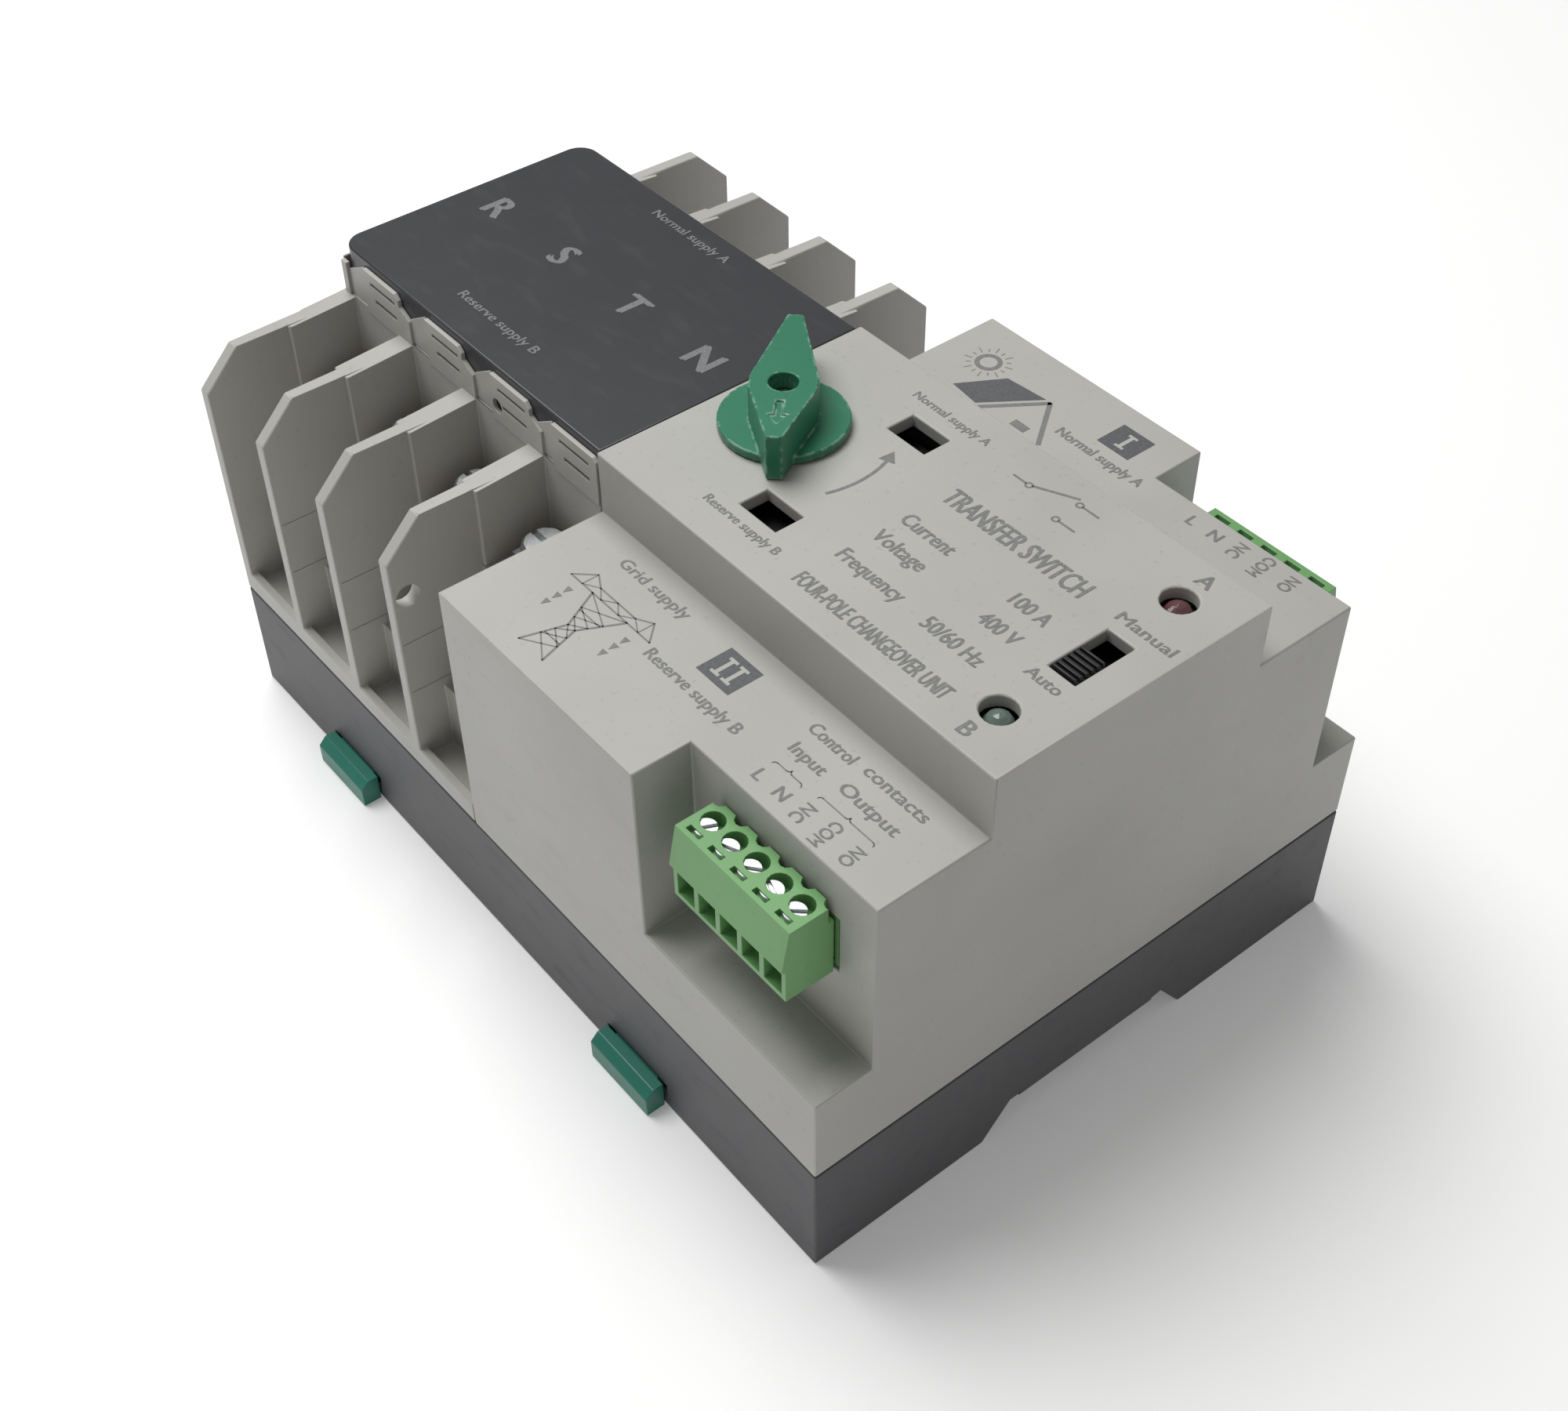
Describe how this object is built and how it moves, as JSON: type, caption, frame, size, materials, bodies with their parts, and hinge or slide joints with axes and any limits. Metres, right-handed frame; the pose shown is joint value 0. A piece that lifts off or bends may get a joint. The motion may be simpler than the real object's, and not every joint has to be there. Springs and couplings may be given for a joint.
{
  "type": "automatic transfer switch",
  "caption": "Rail-mounted changeover switch with pole barriers, a rotary handle, an auto/manual slider, indicator lamps and plug-in control terminals.",
  "frame": {"origin": "centre of the rail seat, on the plane that the mounting rail touches", "axes": "+X along the rail from the poles to the control unit, +Y towards supply A, +Z out of the panel towards the handle"},
  "size_m": [0.174, 0.122, 0.0983],
  "materials": {
    "housing_plastic": "fine satin moulding texture",
    "base_plastic": "fine satin moulding texture",
    "cover_plastic": "smooth satin",
    "knob_plastic": "satin, worn pale at the edges",
    "plug_plastic": "semi-gloss moulding",
    "clip_plastic": "semi-gloss moulding",
    "black_plastic": "satin",
    "copper": "tinned where cut, bright copper elsewhere",
    "zinc_steel": "zinc plated, bright",
    "mechanism_steel": "pressed and plated",
    "coil_wire": "enamelled wire",
    "board_laminate": "solder-mask",
    "led_red": "tinted epoxy",
    "led_green": "tinted epoxy"
  },
  "bodies": {
    "case": {"base_tray": "base_plastic", "pole_housing": "housing_plastic", "control_housing": "housing_plastic", "pole_cover": "cover_plastic", "source_bar_a_r": "copper", "source_bar_b_r": "copper", "load_bar_r": "copper", "source_bar_a_s": "copper", "source_bar_b_s": "copper", "load_bar_s": "copper", "source_bar_a_t": "copper", "source_bar_b_t": "copper", "load_bar_t": "copper", "source_bar_a_n": "copper", "source_bar_b_n": "copper", "load_bar_n": "copper", "mechanism_frame": "mechanism_steel", "yoke_a": "mechanism_steel", "yoke_b": "mechanism_steel", "mode_switch_body": "black_plastic", "coil_a": "coil_wire", "coil_b": "coil_wire", "control_board": "board_laminate", "led_a": "led_red", "led_b": "led_green", "header_a": "plug_plastic", "header_b": "plug_plastic", "case_screw_1": "zinc_steel", "case_screw_2": "zinc_steel", "case_screw_3": "zinc_steel", "case_screw_4": "zinc_steel"},
    "handle": {"knob": "knob_plastic", "knob_screw": "zinc_steel", "knob_spindle": "mechanism_steel"},
    "transfer": {"transfer_slider": "black_plastic", "plunger": "mechanism_steel"},
    "rocker": {"pole_shaft": "mechanism_steel", "transfer_lever": "mechanism_steel", "moving_contact_r": "copper", "moving_contact_s": "copper", "moving_contact_t": "copper", "moving_contact_n": "copper"},
    "mode_button": {"mode_slider": "black_plastic"},
    "terminal_plug_a": {"plug_a": "plug_plastic"},
    "terminal_plug_b": {"plug_b": "plug_plastic"},
    "clip_left": {"rail_clip_1": "clip_plastic"},
    "clip_right": {"rail_clip_2": "clip_plastic"},
    "terminal_a_r": {"screw_a_r": "zinc_steel"},
    "terminal_b_r": {"screw_b_r": "zinc_steel"},
    "terminal_load_r": {"screw_load_r": "zinc_steel"},
    "terminal_a_s": {"screw_a_s": "zinc_steel"},
    "terminal_b_s": {"screw_b_s": "zinc_steel"},
    "terminal_load_s": {"screw_load_s": "zinc_steel"},
    "terminal_a_t": {"screw_a_t": "zinc_steel"},
    "terminal_b_t": {"screw_b_t": "zinc_steel"},
    "terminal_load_t": {"screw_load_t": "zinc_steel"},
    "terminal_a_n": {"screw_a_n": "zinc_steel"},
    "terminal_b_n": {"screw_b_n": "zinc_steel"},
    "terminal_load_n": {"screw_load_n": "zinc_steel"}
  },
  "joints": [
    {"name": "handle_turn", "type": "hinge", "parent": "case", "child": "handle", "pos_m": [0.00745, 0, 0.0833], "axis": [0, 0, 1], "range_deg": [0, 90]},
    {"name": "transfer_slide", "type": "slide", "parent": "case", "child": "transfer", "axis": [0, 1, 0], "range_m": [0, 0.00636]},
    {"name": "contact_rock", "type": "hinge", "parent": "case", "child": "rocker", "pos_m": [0, 0, 0.05], "axis": [-1, 0, 0], "range_deg": [0, 22.4]},
    {"name": "mode_slide", "type": "slide", "parent": "case", "child": "mode_button", "axis": [0, 1, 0], "range_m": [0, 0.0054]},
    {"name": "plug_a_pull", "type": "slide", "parent": "case", "child": "terminal_plug_a", "axis": [0, 1, 0], "range_m": [0, 0.009]},
    {"name": "plug_b_pull", "type": "slide", "parent": "case", "child": "terminal_plug_b", "axis": [0, -1, 0], "range_m": [0, 0.009]},
    {"name": "clip_left_pull", "type": "slide", "parent": "case", "child": "clip_left", "axis": [0, -1, 0], "range_m": [0, 0.004], "stiffness_N_per_m": 600},
    {"name": "clip_right_pull", "type": "slide", "parent": "case", "child": "clip_right", "axis": [0, -1, 0], "range_m": [0, 0.004], "stiffness_N_per_m": 600},
    {"name": "turn_a_r", "type": "hinge", "parent": "case", "child": "terminal_a_r", "pos_m": [-0.07595, 0.034, 0.0605], "axis": [0, 0, 1], "continuous": true},
    {"name": "turn_b_r", "type": "hinge", "parent": "case", "child": "terminal_b_r", "pos_m": [-0.07595, -0.034, 0.0605], "axis": [0, 0, 1], "continuous": true},
    {"name": "turn_load_r", "type": "hinge", "parent": "case", "child": "terminal_load_r", "pos_m": [-0.07595, -0.0465, 0.0385], "axis": [0, 0, 1], "continuous": true},
    {"name": "turn_a_s", "type": "hinge", "parent": "case", "child": "terminal_a_s", "pos_m": [-0.05535, 0.034, 0.0605], "axis": [0, 0, 1], "continuous": true},
    {"name": "turn_b_s", "type": "hinge", "parent": "case", "child": "terminal_b_s", "pos_m": [-0.05535, -0.034, 0.0605], "axis": [0, 0, 1], "continuous": true},
    {"name": "turn_load_s", "type": "hinge", "parent": "case", "child": "terminal_load_s", "pos_m": [-0.05535, -0.0465, 0.0385], "axis": [0, 0, 1], "continuous": true},
    {"name": "turn_a_t", "type": "hinge", "parent": "case", "child": "terminal_a_t", "pos_m": [-0.03475, 0.034, 0.0605], "axis": [0, 0, 1], "continuous": true},
    {"name": "turn_b_t", "type": "hinge", "parent": "case", "child": "terminal_b_t", "pos_m": [-0.03475, -0.034, 0.0605], "axis": [0, 0, 1], "continuous": true},
    {"name": "turn_load_t", "type": "hinge", "parent": "case", "child": "terminal_load_t", "pos_m": [-0.03475, -0.0465, 0.0385], "axis": [0, 0, 1], "continuous": true},
    {"name": "turn_a_n", "type": "hinge", "parent": "case", "child": "terminal_a_n", "pos_m": [-0.01415, 0.034, 0.0605], "axis": [0, 0, 1], "continuous": true},
    {"name": "turn_b_n", "type": "hinge", "parent": "case", "child": "terminal_b_n", "pos_m": [-0.01415, -0.034, 0.0605], "axis": [0, 0, 1], "continuous": true},
    {"name": "turn_load_n", "type": "hinge", "parent": "case", "child": "terminal_load_n", "pos_m": [-0.01415, -0.0465, 0.0385], "axis": [0, 0, 1], "continuous": true}
  ],
  "couplings": [
    {"joint": "handle_turn", "follows": "transfer_slide", "rad_per_m": 246.82},
    {"joint": "contact_rock", "follows": "transfer_slide", "rad_per_m": 61.364}
  ]
}
